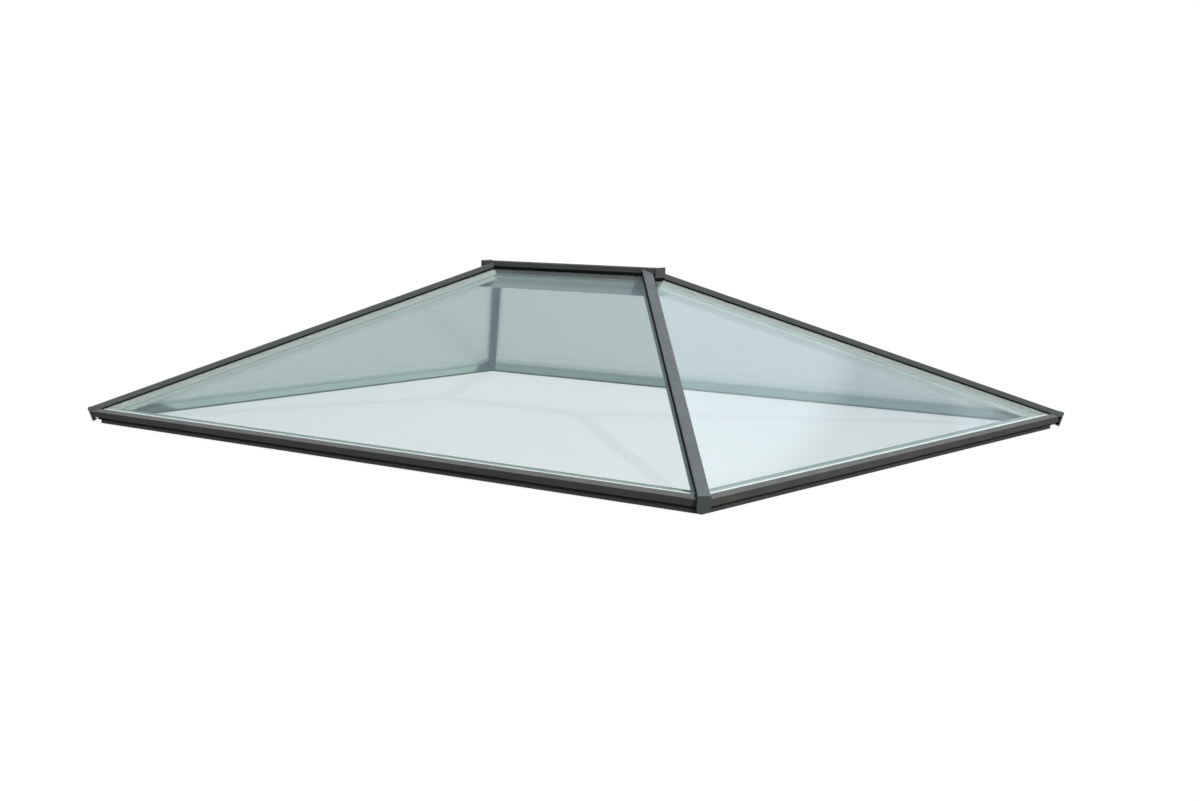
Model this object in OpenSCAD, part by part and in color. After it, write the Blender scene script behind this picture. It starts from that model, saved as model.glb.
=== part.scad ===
/* [Overall] */
// outer length of the eaves frame along X
frame_length = 2000; // [1200:10:3000]
// outer width of the eaves frame along Y
frame_width = 1500; // [900:10:2000]
// slope of all four glass planes, in degrees
roof_pitch = 26.5; // [20:0.5:35]

/* [Glass units] */
// thickness of the outer pane
outer_pane_t = 6; // [4:1:10]
// gap between the two panes
cavity_t = 12; // [10:1:20]
// thickness of the inner pane
inner_pane_t = 6; // [4:1:8]
// width of the spacer bar round the edge of the gap
spacer_w = 7; // [5:0.5:12]
// height of the outer face of the glass above the base, taken at the frame's outer edge
glass_rise = 28.7; // [28:0.1:36]
// distance from the frame's outer edge to the lower edge of the outer pane
outer_pane_inset = 5; // [3.5:0.5:8]
// distance up the slope from the frame's outer edge to the lower edge of the inner pane
inner_pane_setback = 19.5; // [19:0.5:26]
// space from a hip or ridge centre plane to the glass edges beside it
glass_edge_gap = 5; // [4.5:0.5:8]

/* [Eaves frame] */
// distance of the beam's outer wall from the frame's outer edge
beam_inset = 15; // [14:0.5:18]
// distance of the beam's inner face from the frame's outer edge
beam_reach = 58; // [50:1:80]
// height of the beam's underside above the drip leg's lower edge
leg_drop = 10; // [6:0.5:11]
// distance of the drip leg from the frame's outer edge
leg_inset = 21; // [19:0.5:24]
// thickness of the drip leg
leg_t = 4; // [3:0.5:5]
// wall thickness of the eaves beam
beam_wall = 2.5; // [2:0.25:3]
// thickness of the wall that carries the glazing rebate's outer edge
upstand_t = 3; // [2:0.25:4]
// width of the open rebate between the upstand and the box that carries the inner pane
rebate_w = 14.5; // [12:0.5:20]
// thickness of the seal under the inner pane
seat_seal_t = 3; // [2:0.25:4]
// distance of that seal's edges from the edges of its seat
bed_seal_edge = 1; // [0.5:0.25:3]
// distance of the seal under the trim from the outer pane's lower edge
top_seal_setback = 2; // [1:0.25:4]
// thickness of the seal under the outer pane
upstand_seal_t = 2; // [1:0.25:3]
// height of the glazing trim's lower edge above the base
trim_bottom = 18; // [16:0.5:20]
// width of the trim's sloping face, measured level
trim_cover = 12.8; // [11:0.1:18]
// wall thickness of the glazing trim
trim_wall = 2.2; // [1.5:0.1:2.3]
// height of the trim's sloping face above the glass, square to the glass
trim_stand = 3.4; // [3:0.1:5]
// distance of the trim's end from the hip centre plane
trim_end_gap = 13; // [12.7:0.1:15]

/* [Screw holes] */
// diameter of the fixing holes through the beam's base
hole_d = 5.5; // [4:0.5:7]
// distance between the outer holes of a long side
hole_span_long = 1500; // [900:10:1700]
// distance between the inner holes of a long side
hole_span_mid = 500; // [300:10:800]
// distance between the outer holes of a short side
hole_span_short = 1000; // [500:10:1200]
// distance of the holes from the frame's outer edge
hole_inset = 43; // [40:1:46]

/* [Hips] */
// width of the hip cap
hip_cap_w = 24.8; // [22:0.2:25.2]
// height of the hip cap's side faces
hip_cap_h = 11.8; // [10:0.2:16]
// wall thickness of the hip cap
hip_cap_wall = 2; // [1.5:0.25:3]
// size of the bevel along the hip cap's upper edges
hip_cap_bevel = 1; // [0.5:0.25:1.5]
// width of the seal under each edge of the hip cap
hip_seal_w = 4; // [2.5:0.25:5]
// width of the hip bar under the glass
hip_bar_w = 20; // [18:0.5:44]
// depth of the hip bar's underside below the hip line of the glass
hip_bar_depth = 40; // [38:0.5:52]
// wall thickness of the hip bar
hip_bar_wall = 2.5; // [2:0.25:3]
// thickness of the web between the panes, on hips and ridge
web_t = 6; // [4:0.5:7]

/* [Hip end plates] */
// width of the plate at the foot of each hip cap
end_plate_w = 27.5; // [26:0.5:34]
// height of that plate
end_plate_h = 36.8; // [30:0.2:40]
// thickness of that plate
end_plate_t = 3.5; // [2.5:0.25:5]
// height of the plate's top edge above the cap
end_plate_lip = 1; // [0.5:0.25:2]
// depth of the return along the plate's lower edge
end_plate_return = 3; // [2:0.25:4]
// distance of the plate's outer face from the glass hip line's start
end_plate_start = 2.7; // [2:0.1:4]

/* [Ridge] */
// height of the ridge cap's top above the hip line's end, where the glass planes meet
ridge_cap_rise = 12.25; // [10:0.25:16]
// length of the ridge cap past each hip line's end
ridge_overhang = 41; // [38:0.5:60]
// width of the ridge cap
ridge_cap_w = 36; // [34:0.5:40]
// height of the ridge cap, from its lower edges to its highest point
ridge_cap_h = 12.8; // [10:0.1:15]
// wall thickness of the ridge cap
ridge_cap_wall = 2.2; // [1.5:0.1:3]
// rise of the ridge cap's curved top
ridge_cap_crown = 1.5; // [0.5:0.25:3]
// thickness of the plates that close the ridge cap
ridge_plate_t = 4; // [3:0.5:6]
// height of those plates
ridge_plate_h = 24.7; // [22:0.1:26]
// margin of those plates round the cap's outline
ridge_plate_margin = 0.5; // [0.25:0.25:2]
// width of the ridge beam under the glass
ridge_beam_w = 25; // [20:0.5:44]
// depth of the ridge beam's underside below the meeting line of the glass planes
ridge_beam_depth = 64; // [56:0.5:72]
// wall thickness of the ridge beam
ridge_beam_wall = 2.5; // [2:0.25:4]
// width of the seals under the ridge cap's edges
ridge_seal_w = 4; // [2.5:0.25:6]
// distance of the seal block from each hip line's end
ridge_block_start = 12; // [10:0.5:16]

/* [Hidden] */
$fn = 96;
crown_fn = 720;
// length by which cutting bodies pass the faces that they cut
over = 1;
// least height of a hollow chamber
least = 1;
half_x = frame_length / 2;
half_y = frame_width / 2;
slope = tan(roof_pitch);
pitch_cos = cos(roof_pitch);
pitch_sin = sin(roof_pitch);
root2 = sqrt(2);
// hips lie at 45 degrees in plan, so they climb less steeply than the panes
hip_angle = atan(slope / root2);
hip_cos = cos(hip_angle);
hip_sin = sin(hip_angle);
// fall of a pane away from the hip line, in a section square to the hip
hip_fall = slope / root2 * hip_cos;
hip_fall_cos = cos(atan(hip_fall));
unit_t = outer_pane_t + cavity_t + inner_pane_t;
peak_z = glass_rise + slope * half_y;
ridge_half = half_x - half_y;
margin = 60;
tall = peak_z + 200;
hip_run = half_y * root2 / hip_cos;
ridge_cap_half = ridge_half + ridge_overhang;
ridge_top = peak_z + ridge_cap_rise;
ridge_skirt_z = ridge_top - ridge_cap_h;
ridge_cap_in_z = ridge_top - ridge_cap_crown - ridge_cap_wall;
plate_back = end_plate_start + end_plate_t;
web_half = web_t / 2;
beam_floor = leg_drop + beam_wall;
seat_foot = beam_inset + upstand_t + rebate_w;
slope_run = half_y / pitch_cos + margin;
outer_pane_run = outer_pane_inset / pitch_cos;
spacer_in_run = inner_pane_setback + spacer_w;
top_seal_run = outer_pane_run + top_seal_setback;
long_side_holes = [-hole_span_long / 2, -hole_span_mid / 2, hole_span_mid / 2, hole_span_long / 2];
short_side_holes = [-hole_span_short / 2, 0, hole_span_short / 2];

frame_color = [0.24, 0.26, 0.27];
cap_color = [0.34, 0.36, 0.37];
inner_color = [0.85, 0.86, 0.86];
glass_color = [0.7, 0.85, 0.85, 0.4];
seal_color = [0.06, 0.06, 0.06];
tape_color = [0.7, 0.72, 0.71];
spacer_color = [0.6, 0.62, 0.64];

// a point of the roof's section: run up the slope, depth square to the glass
function slope_pt(run, depth) =
    [run * pitch_cos + depth * pitch_sin, glass_rise + run * pitch_sin - depth * pitch_cos];

// height of the plane that lies at a depth under the glass, at a level distance from the eaves
function plane_z(inset, depth) = glass_rise + inset * slope - depth / pitch_cos;

// half the length of side k, counted from the front to the right, the back and the left
function half_len(k) = k % 2 == 0 ? half_x : half_y;
function half_depth(k) = k % 2 == 0 ? half_y : half_x;

module place_side(k) {
    rotate([0, 0, 90 * k])
        translate([0, -half_depth(k), 0])
            children();
}

// extrudes a section, drawn as distance from the eaves and height, along side k
module run_along(k) {
    rotate([90, 0, 90])
        linear_extrude(height = 2 * (half_len(k) + margin), center = true)
            children();
}

// plan shape of one roof plane, kept clear of the hip and ridge planes by gap
module side_wedge(k, gap) {
    outer = half_len(k) + margin - gap * root2;
    top = k % 2 == 0 ? half_y - gap : half_y - gap * root2;
    top_half = half_len(k) - top - gap * root2;
    points = k % 2 == 0
        ? [[-outer, -margin], [outer, -margin], [top_half, top], [-top_half, top]]
        : [[-outer, -margin], [outer, -margin], [0, top]];
    translate([0, 0, -margin])
        linear_extrude(height = tall)
            polygon(points);
}

module side_piece(k, gap) {
    place_side(k)
        intersection() {
            run_along(k)
                children();
            side_wedge(k, gap);
        }
}

// hip j is counted from the front left one
module place_hip(j) {
    mirror([j == 1 || j == 2 ? 1 : 0, 0, 0])
        mirror([0, j == 2 || j == 3 ? 1 : 0, 0])
            children();
}

// extrudes a section square to the hip, drawn as sideways and upwards of the glass hip line
module run_up_hip(start, length) {
    translate([-half_x, -half_y, glass_rise])
        rotate([0, 0, 45])
            rotate([0, -hip_angle, 0])
                translate([start, 0, 0])
                    rotate([90, 0, 90])
                        linear_extrude(height = length)
                            children();
}

// plan block of the front left quarter, from the eaves inset to a distance from the ridge plane
module quarter_block(inset, ridge_gap) {
    translate([-half_x + inset, -half_y + inset, -margin])
        cube([half_x - inset, half_y - inset - ridge_gap, tall]);
}

module beam_section() {
    seat_depth = unit_t + seat_seal_t;
    upstand_top = outer_pane_t + upstand_seal_t;
    polygon([
        [leg_inset, 0],
        [leg_inset + leg_t, 0],
        [leg_inset + leg_t, leg_drop],
        [beam_reach, leg_drop],
        [beam_reach, plane_z(beam_reach, seat_depth)],
        [seat_foot, plane_z(seat_foot, seat_depth)],
        [seat_foot, beam_floor],
        [beam_inset + upstand_t, beam_floor],
        [beam_inset + upstand_t, plane_z(beam_inset + upstand_t, upstand_top)],
        [beam_inset, plane_z(beam_inset, upstand_top)],
        [beam_inset, leg_drop],
        [leg_inset, leg_drop]
    ]);
}

module beam_chamber() {
    roof_depth = unit_t + seat_seal_t + beam_wall;
    low_side = max(seat_foot + beam_wall, (beam_floor + least - plane_z(0, roof_depth)) / slope);
    high_side = beam_reach - beam_wall;
    polygon([
        [low_side, beam_floor],
        [high_side, beam_floor],
        [high_side, plane_z(high_side, roof_depth)],
        [low_side, plane_z(low_side, roof_depth)]
    ]);
}

module base_hole(along) {
    translate([along, hole_inset, leg_drop - over])
        cylinder(d = hole_d, h = beam_wall + 2 * over);
}

// mitred hollow beam of side k, with its rebate, its drip leg and the holes in its base
module eaves_beam(k) {
    color(frame_color)
        difference() {
            side_piece(k, 0)
                difference() {
                    beam_section();
                    beam_chamber();
                }
            place_side(k)
                for (along = k % 2 == 0 ? long_side_holes : short_side_holes)
                    base_hole(along);
        }
}

// glazing trim of side k, an angle section that clips over the upstand and the outer pane's edge
module eaves_trim(k) {
    end_shift = trim_wall * pitch_sin;
    color(cap_color)
        side_piece(k, trim_end_gap)
            polygon([
                [0, trim_bottom],
                [beam_inset, trim_bottom],
                [beam_inset, trim_bottom + trim_wall],
                [trim_wall, trim_bottom + trim_wall],
                [trim_wall, plane_z(trim_wall, trim_wall - trim_stand)],
                [trim_cover + end_shift, plane_z(trim_cover + end_shift, trim_wall - trim_stand)],
                [trim_cover, plane_z(trim_cover, -trim_stand)],
                [0, plane_z(0, -trim_stand)]
            ]);
}

// a flat strip that lies along the slope of side k between two depths
module slope_strip(run_a, run_b, depth_a, depth_b) {
    polygon([
        slope_pt(run_a, depth_a),
        slope_pt(run_b, depth_a),
        slope_pt(run_b, depth_b),
        slope_pt(run_a, depth_b)
    ]);
}

// stepped double glazing of side k: the outer pane runs lower than the inner one
module glass_unit(k) {
    color(glass_color)
        side_piece(k, glass_edge_gap) {
            slope_strip(outer_pane_run, slope_run, 0, outer_pane_t);
            slope_strip(inner_pane_setback, slope_run, outer_pane_t + cavity_t, unit_t);
        }
}

// spacer bar round the edge of the gap between the two panes of side k
module spacer_frame(k) {
    color(spacer_color)
        difference() {
            side_piece(k, glass_edge_gap)
                slope_strip(inner_pane_setback, slope_run, outer_pane_t, outer_pane_t + cavity_t);
            side_piece(k, glass_edge_gap + spacer_w)
                slope_strip(spacer_in_run, slope_run, outer_pane_t - over, outer_pane_t + cavity_t + over);
        }
}

// hollow cap of hip j, from its end plate up to the side of the ridge cap
module hip_cap(j) {
    cap_in = hip_cap_w / 2 - hip_cap_wall;
    side = hip_cap_w / 2;
    bevel = hip_cap_bevel;
    color(cap_color) place_hip(j)
        intersection() {
            run_up_hip(plate_back, hip_run + margin)
                polygon([
                    [-side, 0],
                    [-cap_in, 0],
                    [-cap_in, hip_cap_h - hip_cap_wall],
                    [cap_in, hip_cap_h - hip_cap_wall],
                    [cap_in, 0],
                    [side, 0],
                    [side, hip_cap_h - bevel],
                    [side - bevel, hip_cap_h],
                    [-side + bevel, hip_cap_h],
                    [-side, hip_cap_h - bevel]
                ]);
            quarter_block(-margin, ridge_cap_w / 2);
        }
}

// seals under both edges of the cap of hip j, cut to the slope of the panes
module hip_seal_pair(j) {
    side = hip_cap_w / 2;
    inner = side - hip_seal_w;
    place_hip(j)
        intersection() {
            run_up_hip(plate_back + outer_pane_inset * root2, hip_run + margin) {
                polygon([[inner, -inner * hip_fall], [side, -side * hip_fall], [side, 0], [inner, 0]]);
                polygon([[-inner, -inner * hip_fall], [-side, -side * hip_fall], [-side, 0], [-inner, 0]]);
            }
            quarter_block(-margin, ridge_cap_w / 2);
        }
}

// plate with a short return that closes the foot of the cap of hip j
module hip_plate(j) {
    top = hip_cap_h + end_plate_lip;
    color(cap_color) place_hip(j) {
        run_up_hip(end_plate_start, end_plate_t)
            translate([-end_plate_w / 2, top - end_plate_h])
                square([end_plate_w, end_plate_h]);
        run_up_hip(plate_back, end_plate_return)
            translate([-end_plate_w / 2, top - end_plate_h])
                square([end_plate_w, end_plate_t]);
    }
}

// hollow bar of hip j under the panes, with the web that carries the cap
module hip_bar(j) {
    half = hip_bar_w / 2;
    roof = (unit_t + seat_seal_t) / hip_fall_cos;
    chamber_half = half - hip_bar_wall;
    chamber_roof = roof + hip_bar_wall / hip_fall_cos;
    chamber_low = -hip_bar_depth + hip_bar_wall;
    web_top = hip_cap_h - hip_cap_wall;
    chamber_side = min(chamber_half, (-chamber_low - chamber_roof - least) / hip_fall);
    web_low = -roof - web_half * hip_fall - over;
    block_half = ridge_cap_w / 2 - ridge_cap_wall;
    color(inner_color) place_hip(j) {
        intersection() {
            run_up_hip(0, hip_run + margin)
                difference() {
                    polygon([
                        [-half, -hip_bar_depth],
                        [half, -hip_bar_depth],
                        [half, -roof - half * hip_fall],
                        [0, -roof],
                        [-half, -roof - half * hip_fall]
                    ]);
                    polygon([
                        [-chamber_side, chamber_low],
                        [chamber_side, chamber_low],
                        [chamber_side, -chamber_roof - chamber_side * hip_fall],
                        [0, -chamber_roof],
                        [-chamber_side, -chamber_roof - chamber_side * hip_fall]
                    ]);
                }
            quarter_block(beam_reach, ridge_beam_w / 2);
        }
        intersection() {
            run_up_hip(0, hip_run + margin)
                translate([-web_half, web_low])
                    square([web_t, web_top - web_low]);
            quarter_block(beam_reach, max(block_half, ridge_beam_w / 2));
        }
    }
}

// seals between the inner panes and the bar of hip j
module hip_bed_seal_pair(j) {
    low = unit_t / hip_fall_cos;
    deep = (unit_t + seat_seal_t) / hip_fall_cos;
    inner = glass_edge_gap + bed_seal_edge;
    side = hip_bar_w / 2 - bed_seal_edge;
    place_hip(j)
        intersection() {
            run_up_hip(0, hip_run + margin)
                for (s = [-1, 1])
                    polygon([
                        [s * inner, -low - inner * hip_fall],
                        [s * side, -low - side * hip_fall],
                        [s * side, -deep - side * hip_fall],
                        [s * inner, -deep - inner * hip_fall]
                    ]);
            quarter_block(beam_reach + bed_seal_edge, ridge_beam_w / 2 + bed_seal_edge);
        }
}

// the space under one pair of roof planes, lowered square to the glass by depth
module under_planes(along_x, depth) {
    half = along_x ? half_y : half_x;
    span = along_x ? half_x : half_y;
    rotate([90, 0, along_x ? 90 : 180])
        linear_extrude(height = 2 * (span + margin), center = true)
            polygon([
                [-half - margin, plane_z(-margin, depth)],
                [half + margin, plane_z(-margin, depth)],
                [0, plane_z(half, depth)]
            ]);
}

// hollow beam under the ridge, with a pitched top and the web that carries the ridge cap
module ridge_beam() {
    half = ridge_beam_w / 2;
    seat = unit_t + seat_seal_t;
    low = peak_z - ridge_beam_depth;
    side_top = plane_z(half_y - half, seat);
    chamber_half = half - ridge_beam_wall;
    chamber_top = plane_z(half_y - chamber_half, seat + ridge_beam_wall);
    web_low = plane_z(half_y - web_half, seat);
    color(inner_color) {
        intersection() {
            rotate([90, 0, 90])
                linear_extrude(height = 2 * (ridge_half + 2 * ridge_overhang), center = true)
                    difference() {
                        polygon([
                            [-half, low],
                            [half, low],
                            [half, side_top],
                            [0, plane_z(half_y, seat)],
                            [-half, side_top]
                        ]);
                        polygon([
                            [-chamber_half, low + ridge_beam_wall],
                            [chamber_half, low + ridge_beam_wall],
                            [chamber_half, chamber_top],
                            [0, plane_z(half_y, seat + ridge_beam_wall)],
                            [-chamber_half, chamber_top]
                        ]);
                    }
            under_planes(false, seat);
        }
        translate([-ridge_half, -web_half, web_low - over])
            cube([2 * ridge_half, web_t, ridge_cap_in_z - web_low + over]);
    }
}

// hollow ridge cap with a slightly curved top
module ridge_cap() {
    crown_r = (pow(ridge_cap_w / 2, 2) + pow(ridge_cap_crown, 2)) / (2 * ridge_cap_crown);
    inner_half = ridge_cap_w / 2 - ridge_cap_wall;
    color(cap_color) rotate([90, 0, 90])
        linear_extrude(height = 2 * ridge_cap_half, center = true)
            difference() {
                intersection() {
                    translate([-ridge_cap_w / 2, ridge_skirt_z])
                        square([ridge_cap_w, ridge_cap_h]);
                    translate([0, ridge_top - crown_r])
                        circle(r = crown_r, $fn = crown_fn);
                }
                translate([-inner_half, ridge_skirt_z - over])
                    square([2 * inner_half, ridge_cap_in_z - ridge_skirt_z + over]);
            }
}

// plate that closes one end of the ridge cap
module ridge_plate(side) {
    width = ridge_cap_w + 2 * ridge_plate_margin;
    color(cap_color) mirror([side < 0 ? 1 : 0, 0, 0])
        translate([ridge_cap_half, -width / 2, ridge_top + ridge_plate_margin - ridge_plate_h])
            cube([ridge_plate_t, width, ridge_plate_h]);
}

// seal block that fills one end of the ridge cap down to the glass planes
module ridge_block(side) {
    half = ridge_cap_w / 2 - ridge_cap_wall;
    start = ridge_half + ridge_block_start;
    low = plane_z(half_x - ridge_cap_half, 0);
    color(seal_color) mirror([side < 0 ? 1 : 0, 0, 0])
        difference() {
            translate([start, -half, low])
                cube([ridge_cap_half - start, 2 * half, ridge_cap_in_z - low]);
            intersection() {
                under_planes(true, 0);
                under_planes(false, 0);
            }
        }
}

// seals between the glass and both lower edges of the ridge cap
module ridge_seals() {
    side = ridge_cap_w / 2;
    inner = side - ridge_seal_w;
    color(seal_color) for (s = [-1, 1])
        rotate([90, 0, 90])
            linear_extrude(height = 2 * (ridge_half + ridge_block_start), center = true)
                polygon([
                    [s * inner, plane_z(half_y - inner, 0)],
                    [s * side, plane_z(half_y - side, 0)],
                    [s * side, ridge_skirt_z],
                    [s * inner, ridge_skirt_z]
                ]);
}

// seals between the inner panes and the ridge beam
module ridge_bed_seals() {
    side = ridge_beam_w / 2 - bed_seal_edge;
    inner = glass_edge_gap + bed_seal_edge;
    color(tape_color) for (s = [-1, 1])
        rotate([90, 0, 90])
            linear_extrude(height = 2 * (ridge_half - ridge_beam_w), center = true)
                polygon([
                    [s * inner, plane_z(half_y - inner, unit_t)],
                    [s * side, plane_z(half_y - side, unit_t)],
                    [s * side, plane_z(half_y - side, unit_t + seat_seal_t)],
                    [s * inner, plane_z(half_y - inner, unit_t + seat_seal_t)]
                ]);
}

// seals between the outer panes and the glazing trims
module eaves_top_seals() {
    color(seal_color) for (k = [0:3])
        side_piece(k, trim_end_gap)
            slope_strip(top_seal_run, trim_cover / pitch_cos, trim_wall - trim_stand, 0);
}

// seals between the outer panes and the upstands
module eaves_edge_seals() {
    edge = beam_inset + upstand_t;
    color(seal_color) for (k = [0:3])
        side_piece(k, trim_end_gap)
            polygon([
                [beam_inset, plane_z(beam_inset, outer_pane_t)],
                [edge, plane_z(edge, outer_pane_t)],
                [edge, plane_z(edge, outer_pane_t + upstand_seal_t)],
                [beam_inset, plane_z(beam_inset, outer_pane_t + upstand_seal_t)]
            ]);
}

// seals between the inner panes and the eaves beams
module eaves_bed_seals() {
    low = seat_foot + bed_seal_edge;
    high = beam_reach - bed_seal_edge;
    color(tape_color) for (k = [0:3])
        side_piece(k, hip_bar_w / 2 + bed_seal_edge)
            polygon([
                [low, plane_z(low, unit_t)],
                [high, plane_z(high, unit_t)],
                [high, plane_z(high, unit_t + seat_seal_t)],
                [low, plane_z(low, unit_t + seat_seal_t)]
            ]);
}

module hip_seals() {
    color(seal_color) for (j = [0:3])
        hip_seal_pair(j);
}

module hip_bed_seals() {
    color(tape_color) for (j = [0:3])
        hip_bed_seal_pair(j);
}

eaves_beam(0);  // eaves_beam_front
eaves_beam(1);  // eaves_beam_right
eaves_beam(2);  // eaves_beam_back
eaves_beam(3);  // eaves_beam_left
eaves_trim(0);  // eaves_trim_front
eaves_trim(1);  // eaves_trim_right
eaves_trim(2);  // eaves_trim_back
eaves_trim(3);  // eaves_trim_left
hip_bar(0);  // hip_bar_front_left
hip_bar(1);  // hip_bar_front_right
hip_bar(2);  // hip_bar_back_right
hip_bar(3);  // hip_bar_back_left
hip_cap(0);  // hip_cap_front_left
hip_cap(1);  // hip_cap_front_right
hip_cap(2);  // hip_cap_back_right
hip_cap(3);  // hip_cap_back_left
hip_plate(0);  // hip_plate_front_left
hip_plate(1);  // hip_plate_front_right
hip_plate(2);  // hip_plate_back_right
hip_plate(3);  // hip_plate_back_left
ridge_beam();
ridge_cap();
ridge_plate(-1);  // ridge_plate_left
ridge_plate(1);  // ridge_plate_right
ridge_block(-1);  // ridge_block_left
ridge_block(1);  // ridge_block_right
glass_unit(0);  // glass_front
glass_unit(1);  // glass_right
glass_unit(2);  // glass_back
glass_unit(3);  // glass_left
spacer_frame(0);  // spacer_front
spacer_frame(1);  // spacer_right
spacer_frame(2);  // spacer_back
spacer_frame(3);  // spacer_left
hip_seals();
hip_bed_seals();
eaves_top_seals();
eaves_edge_seals();
eaves_bed_seals();
ridge_seals();
ridge_bed_seals();
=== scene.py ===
# %% [markdown]
# # A hipped glass roof lantern
# This lesson dresses a finished CAD model of a roof lantern. Four double-glazed panes
# lean on each other over a flat roof. Slim metal caps hold them along the four hips and
# the ridge, and a stepped metal frame carries them along the eaves.
#
# The shapes come from the CAD model. This script gives each of them its finish, breaks
# their sharp edges, and sets up the floor, the light and the camera.

# %% Load the frame
import math
import bmesh
import bpy
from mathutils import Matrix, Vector


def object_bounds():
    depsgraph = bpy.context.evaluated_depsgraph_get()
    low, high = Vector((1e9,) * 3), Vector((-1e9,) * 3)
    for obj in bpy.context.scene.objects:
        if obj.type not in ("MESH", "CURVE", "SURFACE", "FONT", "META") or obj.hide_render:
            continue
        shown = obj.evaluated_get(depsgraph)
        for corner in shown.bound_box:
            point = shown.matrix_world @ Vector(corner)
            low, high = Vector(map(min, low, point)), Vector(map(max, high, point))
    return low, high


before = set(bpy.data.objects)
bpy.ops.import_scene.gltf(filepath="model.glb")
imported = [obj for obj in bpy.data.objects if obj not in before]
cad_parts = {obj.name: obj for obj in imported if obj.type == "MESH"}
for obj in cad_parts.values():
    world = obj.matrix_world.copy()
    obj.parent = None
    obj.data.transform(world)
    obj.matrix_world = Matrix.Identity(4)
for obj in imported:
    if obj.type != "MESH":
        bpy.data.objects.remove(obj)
cad_low, cad_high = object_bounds()
print("CAD box in metres:", [round(b - a, 4) for a, b in zip(cad_low, cad_high)])
print("CAD nodes:", len(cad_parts))


# %% [markdown]
# ## Colours and material nodes
# A colour is written as the hex value that a screen shows. Blender works in linear
# light, so one function turns each value to linear. A second small function adds a node
# with its settings and links, which keeps every recipe below short enough to read.
# Pattern sizes are given in millimetres on the real object, so a third function turns
# such a size into the scale of a noise node.

# %% Colour and node helpers
def linear(hex_text):
    values = [int(hex_text[i : i + 2], 16) / 255 for i in (1, 3, 5)]
    return tuple(v / 12.92 if v <= 0.04045 else ((v + 0.055) / 1.055) ** 2.4 for v in values) + (1.0,)


def per_mm(size_mm):
    return 1000.0 / size_mm


def start_material(name):
    material = bpy.data.materials.new(name)
    material.use_nodes = True
    material.node_tree.nodes.clear()
    return material


def add_node(tree, kind, settings=None, links=None):
    node = tree.nodes.new("ShaderNode" + kind)
    for name, value in (settings or {}).items():
        if isinstance(name, str) and hasattr(node, name):
            setattr(node, name, value)
        else:
            node.inputs[name].default_value = value
    for name, source in (links or {}).items():
        tree.links.new(source, node.inputs[name])
    return node


# %% [markdown]
# ## Powder coat
# The outside metal is aluminium with a matt, finely structured powder coat. The powder
# melts into a skin of tiny bumps, so the coat scatters light instead of mirroring it,
# even at a grazing view, and its colour is never quite even: the extrusion under it
# leaves faint bands. The room-side coat is smoother and keeps a little gloss.
#
# The recipe follows that: a fine noise lifts the surface by a few hundredths of a
# millimetre, a coarse noise makes the grey drift a little, and the roughness changes
# with it. A photograph texture would repeat and would tie the part to one size; noise
# in object space has no seams and keeps its scale in millimetres.
#
# Faces that look up are paler than upright ones: fine dust settles on them, and the open sky lights them flat,
# which is painted in as well. The recipe reads how far a face looks up and lays a thin patchy pale film there,
# dust and painted top light together, which makes the top of every cap stand out from its sides.
#
# Straight lengths keep faint lines from the extrusion die. For pieces that lie level, the fine noise is stretched
# along the length, so it turns into such lines. Along the bottom, the drip leg lies in the shade of the trim, and
# a paler band is painted on it as painted light.

# %% Powder coat recipe
leg_top = 0.0098  # the drip leg reaches up to here, in metres over the floor
painted_leg_light_fade = 0.002  # the painted light on the drip leg fades out over this height, in metres
painted_leg_light_hex = "#8c8a85"
drift_mm = 55  # size of the patches in which the grey drifts
speck_mm = 2.2  # size of the fine specks, or of the die lines once they are stretched
level_lines = (0.012, 0.012, 1.0)  # stretch that turns fine noise into level die lines
even_specks = (1.0, 1.0, 1.0)


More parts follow.
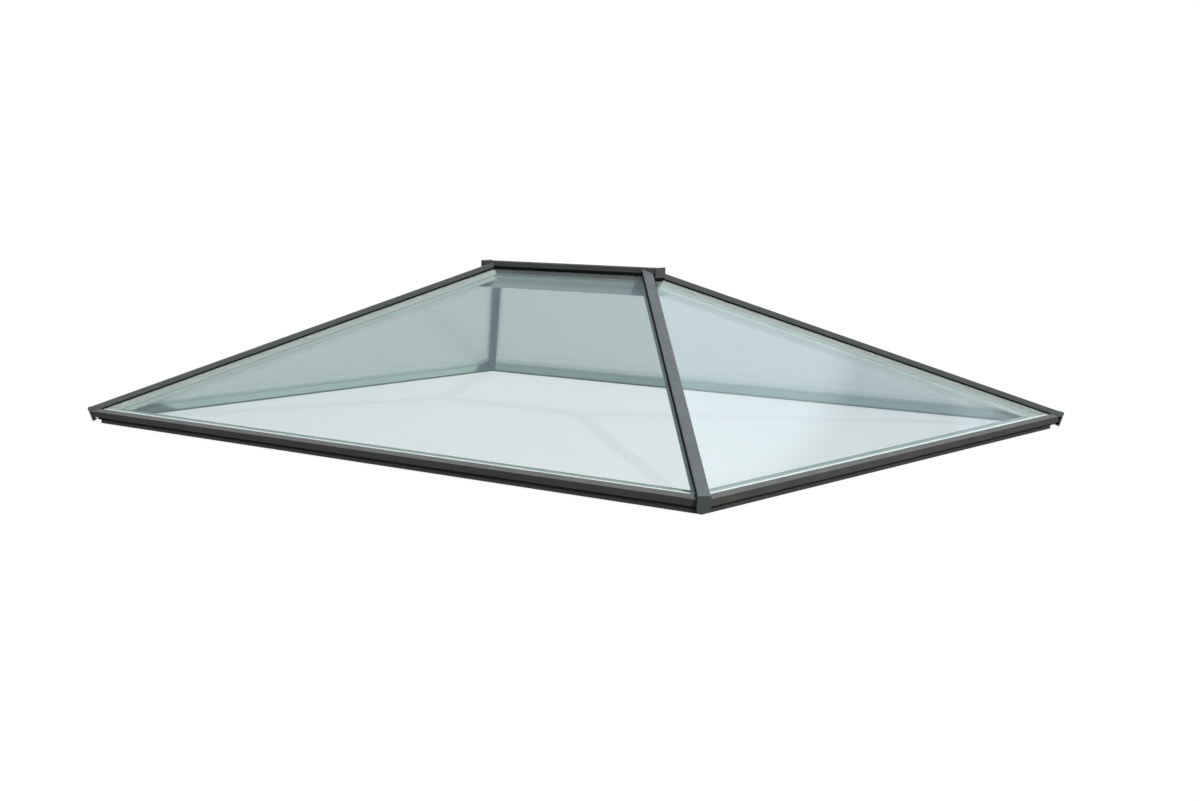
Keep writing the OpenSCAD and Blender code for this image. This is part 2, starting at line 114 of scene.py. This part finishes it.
def powder_coat(name, shade_hex, light_hex, dust_and_top_light_hex, dust_and_top_light_share, roughness, grain_mm, grain_depth_mm,
                stretch=even_specks, painted_leg_light_share=0.0, gloss=0.0):
    material = start_material(name)
    tree = material.node_tree
    place = add_node(tree, "TexCoord")
    drift = add_node(tree, "TexNoise", {"Scale": per_mm(drift_mm), "Detail": 4.0, "Roughness": 0.6},
                     {"Vector": place.outputs["Object"]})
    drawn = add_node(tree, "VectorMath", {"operation": "MULTIPLY", 1: stretch}, {0: place.outputs["Object"]})
    speck = add_node(tree, "TexNoise", {"Scale": per_mm(speck_mm), "Detail": 2.0},
                     {"Vector": drawn.outputs["Vector"]})
    blend = add_node(tree, "Mix", {"data_type": "FLOAT", 0: 0.4},
                     {2: drift.outputs["Fac"], 3: speck.outputs["Fac"]})
    tone = add_node(tree, "ValToRGB", None, {"Fac": blend.outputs[0]})
    tone.color_ramp.elements[0].position = 0.3
    tone.color_ramp.elements[0].color = linear(shade_hex)
    tone.color_ramp.elements[1].position = 0.7
    tone.color_ramp.elements[1].color = linear(light_hex)
    # dust and painted light: faces that look up get a paler film, for settled dust and for the brighter light that
    # falls on tops
    surface = add_node(tree, "NewGeometry")
    facing = add_node(tree, "SeparateXYZ", None, {0: surface.outputs["Normal"]})
    top_light_and_dust_mask = add_node(tree, "MapRange", {"From Min": 0.35, "From Max": 0.85, "To Max": dust_and_top_light_share},
                      {"Value": facing.outputs["Z"]})
    patchy = add_node(tree, "MapRange", {"From Min": 0.3, "From Max": 0.7, "To Min": 0.8, "To Max": 1.0},
                      {"Value": drift.outputs["Fac"]})
    dust_and_top_light = add_node(tree, "Math", {"operation": "MULTIPLY"},
                    {0: top_light_and_dust_mask.outputs["Result"], 1: patchy.outputs["Result"]})
    dust_and_top_light_mix = add_node(tree, "Mix", {"data_type": "RGBA", 7: linear(dust_and_top_light_hex)},
                     {0: dust_and_top_light.outputs[0], 6: tone.outputs["Color"]})
    # painted light: the drip leg, in the shade of the trim, is painted paler along the bottom
    spot = add_node(tree, "SeparateXYZ", None, {0: place.outputs["Object"]})
    painted_leg_light = add_node(tree, "MapRange",
                      {"From Min": leg_top, "From Max": leg_top - painted_leg_light_fade, "To Max": painted_leg_light_share},
                      {"Value": spot.outputs["Z"]})
    skin = add_node(tree, "Mix", {"data_type": "RGBA", 7: linear(painted_leg_light_hex)},
                    {0: painted_leg_light.outputs["Result"], 6: dust_and_top_light_mix.outputs[2]})
    sheen = add_node(tree, "MapRange", {"To Min": roughness - 0.05, "To Max": roughness + 0.07},
                     {"Value": drift.outputs["Fac"]})
    grain = add_node(tree, "TexNoise", {"Scale": per_mm(grain_mm), "Detail": 2.0},
                     {"Vector": place.outputs["Object"]})
    bumps = add_node(tree, "Bump", {"Strength": 0.5, "Distance": grain_depth_mm / 1000},
                     {"Height": grain.outputs["Fac"]})
    coat = add_node(tree, "BsdfPrincipled", {"IOR": 1.45, "Specular IOR Level": gloss},
                    {"Base Color": skin.outputs[2], "Roughness": sheen.outputs["Result"],
                     "Normal": bumps.outputs["Normal"]})
    add_node(tree, "OutputMaterial", None, {"Surface": coat.outputs["BSDF"]})
    return material


outer_grain = (1.1, 0.04)  # width and height of the bumps in millimetres, drawn coarse enough to show
inner_grain = (2.5, 0.02)

# cool grey of the hip caps, the lightest of the dark metals to the eye
hip_coat = powder_coat("anthracite_hip_coat", "#4d5051", "#575b5d", "#8b9599", 0.27, 0.75, *outer_grain)
# the same grey on the ridge, with level die lines
ridge_coat = powder_coat("anthracite_ridge_coat", "#4b4d4d", "#555757", "#6f7577", 0.25, 0.7, *outer_grain,
                         stretch=level_lines)
# nearly black, slightly warm coat that makes the eaves read as one dark band
# its drip leg is painted paler, as painted light against the shade under the trim
eaves_coat = powder_coat("black_eaves_coat", "#444341", "#4e4d4b", "#7e8584", 0.47, 0.7, *outer_grain,
                         stretch=level_lines, painted_leg_light_share=0.8)
# smooth pale room-side coat of the hip bars, kept darker than the beam's as painted shade, the even strip beside
# each hip
shaded_bar_coat = powder_coat("pale_grey_bar_coat_painted_shade", "#a9b0ae", "#b3bab7", "#b3bab7", 0.1, 0.5, *inner_grain, gloss=0.1)
# the same room-side coat on the ridge beam inside, a shade lighter as painted light, so that the hip's shadow
# stands out on it
lit_beam_coat = powder_coat("light_grey_beam_coat_painted_light", "#b7bdba", "#c2c8c5", "#c2c8c5", 0.1, 0.5, *inner_grain, gloss=0.1)
# the room side of the eaves: seen through two panes it has a green cast, which the coat takes up
sill_coat = powder_coat("pale_green_sill_coat", "#adbfb3", "#b9cabe", "#b9cabe", 0.1, 0.5, *inner_grain, gloss=0.1)
for coat in (hip_coat, ridge_coat, eaves_coat, shaded_bar_coat, lit_beam_coat, sill_coat):
    print(coat.name, "nodes:", len(coat.node_tree.nodes))


# %% [markdown]
# ## Float glass
# Each pane is real thickness: a pair of 6 mm sheets with a gap between them. The look
# comes from that geometry, since every face of every sheet reflects a little and bends
# the view, which draws the pale double lines along the eaves.
#
# Clear float glass has a trace of iron, so the tint is a light green. Shadow rays and
# soft bounce light can't be bent by a renderer at a fair cost, so for them the glass is
# simply let through with hardly any loss.

# %% Float glass recipe
def float_glass(name, tint_hex, shadow_hex):
    material = start_material(name)
    tree = material.node_tree
    path = add_node(tree, "LightPath")
    passing = add_node(tree, "Math", {"operation": "MAXIMUM"},
                       {0: path.outputs["Is Shadow Ray"], 1: path.outputs["Is Diffuse Ray"]})
    sheet = add_node(tree, "BsdfPrincipled",
                     {"Base Color": linear(tint_hex), "Roughness": 0.0, "IOR": 1.5, "Transmission Weight": 1.0})
    clear = add_node(tree, "BsdfTransparent", {"Color": linear(shadow_hex)})
    mix = add_node(tree, "MixShader", None,
                   {0: passing.outputs[0], 1: sheet.outputs["BSDF"], 2: clear.outputs["BSDF"]})
    add_node(tree, "OutputMaterial", None, {"Surface": mix.outputs["Shader"]})
    return material


# the green-white shimmer over everything seen through the panes
pane_glass = float_glass("clear_float_glass", "#fafdfc", "#fafdfc")
print(pane_glass.name, "nodes:", len(pane_glass.node_tree.nodes))


# %% [markdown]
# ## Seals and spacer bars
# Extruded rubber lies between the caps and the glass and draws the thin black lines
# beside each hip. It is dull and a little streaky from the die. Under the inner panes
# lies pale glazing tape, soft foam with fine open cells.
#
# The spacer bar round each unit is rolled aluminium whose inner face has rows of fine
# holes, through which the drying grains inside reach the gap. At this scale the holes
# need no geometry: small dark cells in the colour, a millimetre or two apart, do it.
# Its flank, pressed against the outer pane, has faint marks from the rolls. Along the eaves, where the key light
# falls on it, it gets a brighter copy of the metal as painted light, which draws a hairline.

# %% Seal, tape and spacer recipes
def extruded_rubber(name, shade_hex, light_hex):
    material = start_material(name)
    tree = material.node_tree
    place = add_node(tree, "TexCoord")
    streak = add_node(tree, "TexNoise", {"Scale": per_mm(6), "Detail": 3.0}, {"Vector": place.outputs["Object"]})
    tone = add_node(tree, "ValToRGB", None, {"Fac": streak.outputs["Fac"]})
    tone.color_ramp.elements[0].color = linear(shade_hex)
    tone.color_ramp.elements[1].color = linear(light_hex)
    bumps = add_node(tree, "Bump", {"Strength": 0.4, "Distance": 0.0002}, {"Height": streak.outputs["Fac"]})
    rubber = add_node(tree, "BsdfPrincipled", {"Roughness": 0.85, "Specular IOR Level": 0.01},
                      {"Base Color": tone.outputs["Color"], "Normal": bumps.outputs["Normal"]})
    add_node(tree, "OutputMaterial", None, {"Surface": rubber.outputs["BSDF"]})
    return material


def foam_tape(name, shade_hex, light_hex):
    material = start_material(name)
    tree = material.node_tree
    place = add_node(tree, "TexCoord")
    cells = add_node(tree, "TexVoronoi", {"Scale": per_mm(1.4)}, {"Vector": place.outputs["Object"]})
    tone = add_node(tree, "ValToRGB", None, {"Fac": cells.outputs["Distance"]})
    tone.color_ramp.elements[0].color = linear(shade_hex)
    tone.color_ramp.elements[1].color = linear(light_hex)
    foam = add_node(tree, "BsdfPrincipled", {"Roughness": 0.9, "Specular IOR Level": 0.2},
                    {"Base Color": tone.outputs["Color"]})
    add_node(tree, "OutputMaterial", None, {"Surface": foam.outputs["BSDF"]})
    return material


def pierced_aluminium(name, metal_hex, hole_hex, pitch_mm):
    material = start_material(name)
    tree = material.node_tree
    place = add_node(tree, "TexCoord")
    holes = add_node(tree, "TexVoronoi", {"Scale": per_mm(pitch_mm), "Randomness": 0.25},
                     {"Vector": place.outputs["Object"]})
    tone = add_node(tree, "ValToRGB", None, {"Fac": holes.outputs["Distance"]})
    tone.color_ramp.elements[0].position = 0.12
    tone.color_ramp.elements[0].color = linear(hole_hex)
    tone.color_ramp.elements[1].position = 0.2
    tone.color_ramp.elements[1].color = linear(metal_hex)
    metal = add_node(tree, "BsdfPrincipled", {"Roughness": 0.6, "Metallic": 0.15},
                     {"Base Color": tone.outputs["Color"]})
    add_node(tree, "OutputMaterial", None, {"Surface": metal.outputs["BSDF"]})
    return material


# the deepest black of the object, along every cap
seal_rubber = extruded_rubber("extruded_seal_rubber", "#101416", "#1b2023")
# light line along the lower edge of the glass, where the inner pane lies on its seat
glazing_tape = foam_tape("pale_glazing_tape", "#8f9a96", "#a7b0ad")
# soft grey band under the ridge and along the hips
spacer_metal = pierced_aluminium("pierced_spacer_aluminium", "#abb1b0", "#9da3a2", 2.0)
# painted light: a brighter copy of the spacer metal for its lit flank, a hairline just above the eaves trim
painted_light_spacer_flank = pierced_aluminium("spacer_flank_painted_light", "#dfe4e4", "#c9cfcf", 3.0)
for finish in (seal_rubber, glazing_tape, spacer_metal, painted_light_spacer_flank):
    print(finish.name, "nodes:", len(finish.node_tree.nodes))


# %% [markdown]
# ## Dress the CAD nodes
# Every node gets one finish, picked by its name. Two kinds of piece need a second one.
# The eaves beam is dark outside and pale in the room, but both skins belong to one hollow profile, so its faces
# that look into the room get the pale coat. The spacer's faces that look up at the outer pane along the eaves get
# a brighter copy of the spacer finish, painted light where the key light falls on its flank.
#
# Real extrusions have no knife edges. A bevel modifier takes a few tenths of a millimetre off every sharp edge of
# the outer caps, end plates and eaves trims, which is what makes a thin bright line appear there in close views.
# It leaves the CAD mesh itself as it is.

# %% Finishes by name
def finish_for(name):
    if name.startswith("glass"):
        return pane_glass
    if name.startswith("spacer"):
        return spacer_metal
    if name.endswith("bed_seals"):
        return glazing_tape
    if name.endswith("seals") or name.startswith("ridge_block"):
        return seal_rubber
    if name.startswith("hip_bar"):
        return shaded_bar_coat
    if name == "ridge_beam":
        return lit_beam_coat
    if name.startswith("eaves"):
        return eaves_coat
    if name.startswith("ridge"):
        return ridge_coat
    return hip_coat


room_side_start = 0.03  # metres in from the frame's outer line; beyond it the beam belongs to the room


def looks_into_room(place, normal):
    inward = min(cad_high[0] - abs(place.x), cad_high[1] - abs(place.y))
    return inward > room_side_start and (normal.dot(place) < 0 or normal.z > 0.5)


# the flank's brighter copy is painted light, so it is kept to the eaves, where the key light falls on it
flank_top = 0.06  # metres over the floor; the bright flank shows only along the eaves, below this


def looks_at_outer_pane(place, normal):
    return normal.z > 0.8 and place.z < flank_top


def paint_faces(piece, finish, chosen):
    piece.data.materials.append(finish)
    painted = 0
    for face in piece.data.polygons:
        if chosen(face.center, face.normal):
            face.material_index = 1
            painted += 1
    return painted


for name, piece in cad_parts.items():
    piece.data.materials.clear()
    piece.data.materials.append(finish_for(name))
    if name.startswith("eaves_beam"):
        print(name, "room faces:", paint_faces(piece, sill_coat, looks_into_room))
    if name.startswith("spacer"):
        print(name, "flank faces:", paint_faces(piece, painted_light_spacer_flank, looks_at_outer_pane))


# %% Softened metal edges
def soften_edges(piece, width_mm):
    bevel = piece.modifiers.new("softened_edges", "BEVEL")
    bevel.width = width_mm / 1000
    bevel.segments = 2
    bevel.limit_method = "ANGLE"
    bevel.angle_limit = math.radians(35)
    bevel.material = -1
    bevel.harden_normals = True


edge_break_mm = 0.5
softened = ("hip_cap", "hip_plate", "ridge_cap", "ridge_plate", "eaves_trim")
for name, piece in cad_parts.items():
    if name.startswith(softened):
        soften_edges(piece, edge_break_mm)
print("softened pieces:", sum(name.startswith(softened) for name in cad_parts))


# %% [markdown]
# ## Floor
# The lantern rests on a pale studio floor. It is one large square with two jobs: it
# takes the object's shadow, and it fades into the white background. Part of its
# brightness is ordinary matt paint, which shows the shadow. The rest glows, but only for
# rays that come from the camera or by way of metal and glass, so the floor can look
# white without throwing more light up at the object. It can't be seen from below, so
# that a view from there shows the underside of the frame.

# %% Pale floor
floor_half = 60.0  # metres
floor_paint = 0.1  # share of the light that the matt paint sends back
paint_in_light = 0.8  # how bright such paint is under these lamps
reflected_share = 0.45  # how bright the floor is in a mirrored view
bounce_glow = 0.02  # what it throws up at the object


def seen_rays(tree):
    """rays that show the background: straight ones, and those by way of metal or glass"""
    path = add_node(tree, "LightPath")
    straight = add_node(tree, "Math", {"operation": "MAXIMUM"},
                        {0: path.outputs["Is Camera Ray"], 1: path.outputs["Is Transmission Ray"]})
    seen = add_node(tree, "Math", {"operation": "MAXIMUM"},
                    {0: straight.outputs[0], 1: path.outputs["Is Glossy Ray"]})
    mirrored = add_node(tree, "Math", {"operation": "GREATER_THAN", 1: 0.5}, {0: path.outputs["Glossy Depth"]})
    return seen.outputs[0], mirrored.outputs[0]


def make_floor():
    mesh = bpy.data.meshes.new("studio_floor")
    form = bmesh.new()
    bmesh.ops.create_grid(form, x_segments=1, y_segments=1, size=floor_half)
    form.to_mesh(mesh)
    form.free()
    floor = bpy.data.objects.new("studio_floor", mesh)
    bpy.context.scene.collection.objects.link(floor)
    material = start_material("pale_studio_floor")
    tree = material.node_tree
    seen, mirrored = seen_rays(tree)
    level = add_node(tree, "MapRange", {"To Min": 1.0 - floor_paint * paint_in_light, "To Max": reflected_share},
                     {"Value": mirrored})
    strength = add_node(tree, "Mix", {"data_type": "FLOAT", 2: bounce_glow},
                        {0: seen, 3: level.outputs["Result"]})
    paint = add_node(tree, "BsdfDiffuse", {"Color": (floor_paint, floor_paint, floor_paint, 1.0)})
    glow = add_node(tree, "Emission", {"Color": linear("#ffffff")}, {"Strength": strength.outputs[0]})
    both = add_node(tree, "AddShader", None, {0: paint.outputs["BSDF"], 1: glow.outputs["Emission"]})
    side = add_node(tree, "NewGeometry")
    unseen = add_node(tree, "BsdfTransparent")
    one_sided = add_node(tree, "MixShader", None,
                         {0: side.outputs["Backfacing"], 1: both.outputs["Shader"], 2: unseen.outputs["BSDF"]})
    add_node(tree, "OutputMaterial", None, {"Surface": one_sided.outputs["Shader"]})
    mesh.materials.append(material)


make_floor()
print("floor side in metres:", 2 * floor_half)


# %% [markdown]
# ## Light
# One soft key light stands to the right and a little in front of the object. It lights
# the faces that turn right, leaves those that turn left in shade, and draws the shadow
# of the near hip on the ridge beam inside. A weaker one stands low beside it and reaches
# in under the trims, so the drip leg isn't lost in black. A slightly blue sky fills in.
#
# What the glass and the metal mirror is the same backdrop: white behind the object and
# paler blue-grey overhead, with a large soft bright patch that the right pane picks up
# and a small faint one in that pane's far corner.

# %% Key light and backdrop
key_direction = Vector((0.573, -0.243, 0.613)).normalized()
key_level = 1.12
fill_direction = Vector((0.77, -0.58, 0.27)).normalized()
fill_level = 0.25
sky_low = 0.0  # strength of the fill at the horizon
sky_high = 0.5  # and overhead
# each patch: its direction, the cosine at its edge and at its even core, and its strength
large_patch = (Vector((-0.29, 0.78, 0.54)).normalized(), 0.9948, 0.9972, 1.0)
corner_patch = (Vector((-0.166, 0.882, 0.442)).normalized(), 0.9992, 0.9996, 0.5)


def make_lamp(name, direction, level, width_degrees, hex_text):
    lamp = bpy.data.lights.new(name, "SUN")
    lamp.energy = level * math.pi
    lamp.angle = math.radians(width_degrees)
    lamp.color = linear(hex_text)[:3]
    stand = bpy.data.objects.new(name, lamp)
    stand.rotation_euler = direction.to_track_quat("Z", "Y").to_euler()
    bpy.context.scene.collection.objects.link(stand)


def sky_patch(tree, place, patch):
    direction, edge, core, strength = patch
    nearness = add_node(tree, "VectorMath", {"operation": "DOT_PRODUCT", 1: direction},
                        {0: place.outputs["Generated"]})
    soft = add_node(tree, "MapRange",
                    {"interpolation_type": "SMOOTHSTEP", "From Min": edge, "From Max": core, "To Max": strength},
                    {"Value": nearness.outputs["Value"]})
    return soft.outputs["Result"]


def make_backdrop():
    world = bpy.data.worlds.new("studio_backdrop")
    bpy.context.scene.world = world
    world.use_nodes = True
    tree = world.node_tree
    tree.nodes.clear()
    seen, mirrored = seen_rays(tree)
    place = add_node(tree, "TexCoord")
    direction = add_node(tree, "SeparateXYZ", None, {0: place.outputs["Generated"]})
    height = add_node(tree, "ValToRGB", None, {"Fac": direction.outputs["Z"]})
    height.color_ramp.elements[0].position = 0.15
    height.color_ramp.elements[0].color = linear("#dcdcda")
    height.color_ramp.elements[1].position = 0.5
    height.color_ramp.elements[1].color = linear("#889ca6")
    clouds = add_node(tree, "TexNoise", {"Scale": 2.2, "Detail": 3.0, "Roughness": 0.45},
                      {"Vector": place.outputs["Generated"]})
    veil = add_node(tree, "MapRange", {"From Min": 0.4, "From Max": 0.7, "To Min": 0.85, "To Max": 1.25},
                    {"Value": clouds.outputs["Fac"]})
    mirrored_sky = add_node(tree, "VectorMath", {"operation": "SCALE"},
                            {0: height.outputs["Color"], "Scale": veil.outputs["Result"]})
    patches = add_node(tree, "Math", {"operation": "MAXIMUM"},
                       {0: sky_patch(tree, place, large_patch), 1: sky_patch(tree, place, corner_patch)})
    bright_sky = add_node(tree, "Mix", {"data_type": "RGBA", 7: linear("#c8dde9")},
                          {0: patches.outputs[0], 6: mirrored_sky.outputs["Vector"]})
    view = add_node(tree, "Mix", {"data_type": "RGBA", 6: linear("#ffffff")},
                    {0: mirrored, 7: bright_sky.outputs[2]})
    soft_top = add_node(tree, "MapRange", {"To Min": sky_low, "To Max": sky_high},
                        {"Value": direction.outputs["Z"]})
    fill = add_node(tree, "VectorMath", {"operation": "SCALE", 0: linear("#f2f8fd")[:3]},
                    {"Scale": soft_top.outputs["Result"]})
    colour = add_node(tree, "Mix", {"data_type": "RGBA"},
                      {0: seen, 6: fill.outputs["Vector"], 7: view.outputs[2]})
    backdrop = add_node(tree, "Background", {"Strength": 1.0}, {"Color": colour.outputs[2]})
    add_node(tree, "OutputWorld", None, {"Surface": backdrop.outputs["Background"]})


make_lamp("soft_key", key_direction, key_level, 3, "#fffdfa")
make_lamp("low_fill", fill_direction, fill_level, 25, "#fbfdff")
make_backdrop()
print("key light from:", [round(v, 3) for v in key_direction])


# %% [markdown]
# ## Camera
# The camera's place, turn and lens were solved from the straight lines of the frame and
# the hips, so the render lies over the photograph. The lens shift stands for the slight
# crop of the picture.

# %% Camera
photo_width = 1200
photo_height = 801
focal_px = 1793.36
centre_column_px = 649.43
centre_row_px = 400.0
camera_place = (3.02194, -3.41544, 0.66244)  # metres
looks_down_degrees = 7.452
turned_degrees = 38.966


def make_camera():
    data = bpy.data.cameras.new("photo_view")
    data.sensor_width = 36.0
    data.lens = focal_px / photo_width * data.sensor_width
    data.shift_x = (photo_width / 2 - centre_column_px) / photo_width
    data.shift_y = (centre_row_px - photo_height / 2) / photo_width
    data.clip_end = 300
    camera = bpy.data.objects.new("photo_view", data)
    camera.location = camera_place
    camera.rotation_euler = (math.radians(90 - looks_down_degrees), 0, math.radians(turned_degrees))
    bpy.context.scene.collection.objects.link(camera)
    bpy.context.scene.camera = camera


make_camera()
bpy.context.scene.view_settings.view_transform = "Standard"
print("focal length in mm:", round(bpy.context.scene.camera.data.lens, 2))
